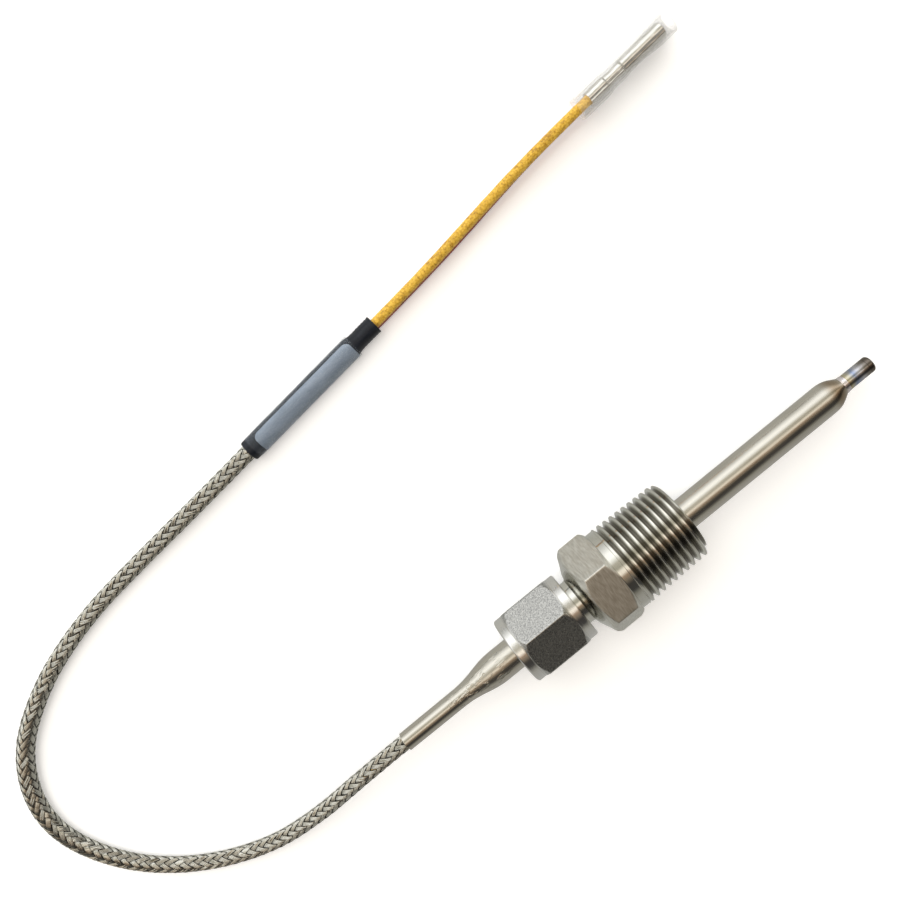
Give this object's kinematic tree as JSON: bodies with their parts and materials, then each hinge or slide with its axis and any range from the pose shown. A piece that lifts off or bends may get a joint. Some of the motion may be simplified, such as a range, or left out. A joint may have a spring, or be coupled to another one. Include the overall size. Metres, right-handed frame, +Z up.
{
  "type": "screw-in thermocouple",
  "caption": "Screw-in thermocouple: steel probe with a stepped tip in a compression fitting with taper pipe thread, braided cable, sleeved splice and leads with receptacle terminals.",
  "frame": {"origin": "on the probe axis, in the plane where the taper thread's side of the large hexagon ends", "axes": "+X along the probe to its tip, +Z up; the large hexagon rests on one flat below the axis"},
  "size_m": [0.2355, 0.1073, 0.0222],
  "materials": {
    "stainless_turned": "turned and brushed stainless steel",
    "stainless_nut": "drawn hexagon, polished turned ends",
    "stainless_tube": "satin drawn tube",
    "heat_tinted_steel": "glossy, straw and blue heat tint",
    "weld_metal": "bright weld",
    "thermo_wire": "drawn alloy wire",
    "magnesia": "packed powder",
    "ceramic": "unglazed",
    "potting": "matt resin",
    "wire_braid": "braided fine stainless wire",
    "glass_fibre": "glass fibre wrap",
    "yellow_fibre": "impregnated glass fibre braid",
    "red_fibre": "impregnated glass fibre braid",
    "black_shrink": "satin shrink tubing",
    "label_film": "silver-grey polyester film",
    "clear_film": "clear shrink film",
    "clear_sleeve": "clear soft plastic, frosted at the edges",
    "tinned": "tinned sheet brass"
  },
  "bodies": {
    "probe": {"front_ferrule": "stainless_turned", "back_ferrule": "stainless_turned", "protection_tube": "stainless_tube", "tip_sheath": "heat_tinted_steel", "tip_plug": "heat_tinted_steel", "weld_ring": "weld_metal", "hot_junction": "weld_metal", "positive_thermoelement": "thermo_wire", "negative_thermoelement": "thermo_wire", "magnesia_core": "magnesia", "ceramic_beads": "ceramic", "potting_seal": "potting", "steel_braid": "wire_braid", "cable_jacket": "glass_fibre", "positive_core": "yellow_fibre", "negative_core": "red_fibre", "heat_shrink": "black_shrink", "marker_label": "label_film", "clear_wrap": "clear_film", "positive_splice": "tinned", "negative_splice": "tinned", "yellow_lead": "yellow_fibre", "positive_conductor": "thermo_wire", "red_lead": "red_fibre", "negative_conductor": "thermo_wire", "positive_terminal": "tinned", "negative_terminal": "tinned"},
    "fitting": {"fitting_body": "stainless_turned"},
    "nut": {"compression_nut": "stainless_nut"},
    "positive_sleeve": {"positive_terminal_sleeve": "clear_sleeve"},
    "negative_sleeve": {"negative_terminal_sleeve": "clear_sleeve"}
  },
  "joints": [
    {"name": "nut_turn", "type": "hinge", "parent": "probe", "child": "nut", "pos_m": [0, 0, 0], "axis": [-1, 0, 0], "range_deg": [0, 1800]},
    {"name": "fitting_advance", "type": "slide", "parent": "probe", "child": "fitting", "axis": [1, 0, 0], "range_m": [0, 0.00635]},
    {"name": "positive_sleeve_slide", "type": "slide", "parent": "probe", "child": "positive_sleeve", "axis": [-0.9962, -0.0872, 0], "range_m": [0, 0.016]},
    {"name": "negative_sleeve_slide", "type": "slide", "parent": "probe", "child": "negative_sleeve", "axis": [-0.9962, -0.0872, 0], "range_m": [0, 0.016]}
  ],
  "couplings": [
    {"joint": "nut_turn", "follows": "fitting_advance", "rad_per_m": 4947.4}
  ]
}
